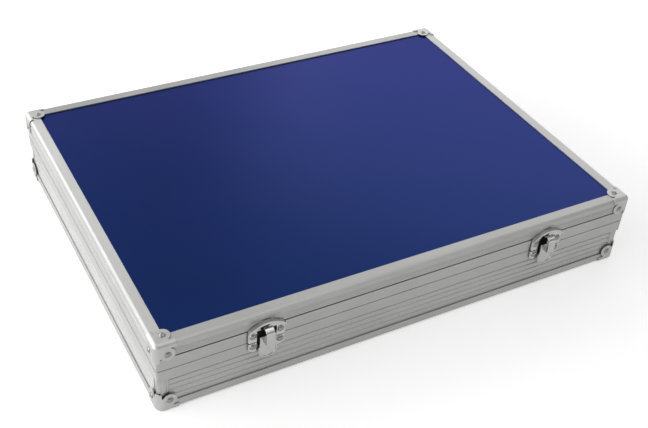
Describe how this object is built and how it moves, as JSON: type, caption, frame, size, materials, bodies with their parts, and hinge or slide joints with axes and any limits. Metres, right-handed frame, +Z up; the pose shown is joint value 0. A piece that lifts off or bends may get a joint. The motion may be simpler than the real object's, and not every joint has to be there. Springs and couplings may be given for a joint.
{
  "type": "attache case",
  "caption": "Slim aluminium attache case with a blue lid sheet, ribbed sides, plated corner caps and sprung catches; it opens on rear hinges.",
  "frame": {"origin": "centre of the case's footprint, on the surface the corner caps stand on, lid closed", "axes": "+X along the length to the right-hand side, +Y from the catches to the hinges, +Z up through the lid"},
  "size_m": [0.404, 0.317, 0.0642],
  "materials": {
    "rail_aluminium": "extruded and satin anodised",
    "ribbed_aluminium": "ribbed sheet, satin anodised",
    "blue_sheet": "dark blue sheet with a fine satin grain",
    "board": "plain fibreboard",
    "gasket": "black rubber sheet",
    "lining": "black flocked lining",
    "plated_cap": "pressed steel, nickel plated and polished",
    "rivet": "nickel plated steel",
    "hinge_steel": "nickel plated steel, satin",
    "pin_steel": "bright drawn steel",
    "latch_plate": "pressed steel, nickel plated",
    "latch_catch": "pressed steel, bright nickel plated"
  },
  "bodies": {
    "base": {"base_trim_front": "rail_aluminium", "base_trim_right": "rail_aluminium", "base_trim_back": "rail_aluminium", "base_trim_left": "rail_aluminium", "base_closure_front": "rail_aluminium", "base_closure_right": "rail_aluminium", "base_closure_back": "rail_aluminium", "base_closure_left": "rail_aluminium", "base_skin": "blue_sheet", "base_board": "board", "base_lining": "lining", "base_panel_front": "ribbed_aluminium", "base_panel_right": "ribbed_aluminium", "base_panel_back": "ribbed_aluminium", "base_panel_left": "ribbed_aluminium", "base_post_front_left": "rail_aluminium", "base_post_front_right": "rail_aluminium", "base_post_back_right": "rail_aluminium", "base_post_back_left": "rail_aluminium", "base_cap_front_left": "plated_cap", "base_cap_front_right": "plated_cap", "base_cap_back_right": "plated_cap", "base_cap_back_left": "plated_cap", "base_rivets": "rivet", "hinge_left_base_leaf": "hinge_steel", "hinge_right_base_leaf": "hinge_steel", "hinge_left_pin": "pin_steel", "hinge_right_pin": "pin_steel", "latch_left_plate": "latch_plate", "latch_left_base_pad": "gasket", "latch_right_plate": "latch_plate", "latch_right_base_pad": "gasket", "latch_left_pin": "pin_steel", "latch_right_pin": "pin_steel"},
    "lid": {"lid_trim_front": "rail_aluminium", "lid_trim_right": "rail_aluminium", "lid_trim_back": "rail_aluminium", "lid_trim_left": "rail_aluminium", "lid_closure_front": "rail_aluminium", "lid_closure_right": "rail_aluminium", "lid_closure_back": "rail_aluminium", "lid_closure_left": "rail_aluminium", "lid_skin": "blue_sheet", "lid_board": "board", "lid_lining": "lining", "lid_cap_front_left": "plated_cap", "lid_cap_front_right": "plated_cap", "lid_cap_back_right": "plated_cap", "lid_cap_back_left": "plated_cap", "lid_rivets": "rivet", "hinge_left_lid_leaf": "hinge_steel", "hinge_right_lid_leaf": "hinge_steel", "latch_left_keeper": "latch_plate", "latch_left_lid_pad": "gasket", "latch_right_keeper": "latch_plate", "latch_right_lid_pad": "gasket"},
    "catch_left": {"latch_left_catch": "latch_catch"},
    "catch_right": {"latch_right_catch": "latch_catch"}
  },
  "joints": [
    {"name": "lid_hinge", "type": "hinge", "parent": "base", "child": "lid", "pos_m": [0, 0.1545, 0.03848], "axis": [-1, 0, 0], "range_deg": [0, 95]},
    {"name": "catch_left_press", "type": "hinge", "parent": "base", "child": "catch_left", "pos_m": [-0.12, -0.1563, 0.0414], "axis": [1, 0, 0], "range_deg": [0, 6], "stiffness_Nm_per_rad": 0.03, "springref_deg": -17.19},
    {"name": "catch_right_press", "type": "hinge", "parent": "base", "child": "catch_right", "pos_m": [0.12, -0.1563, 0.0414], "axis": [1, 0, 0], "range_deg": [0, 6], "stiffness_Nm_per_rad": 0.03, "springref_deg": -17.19}
  ]
}
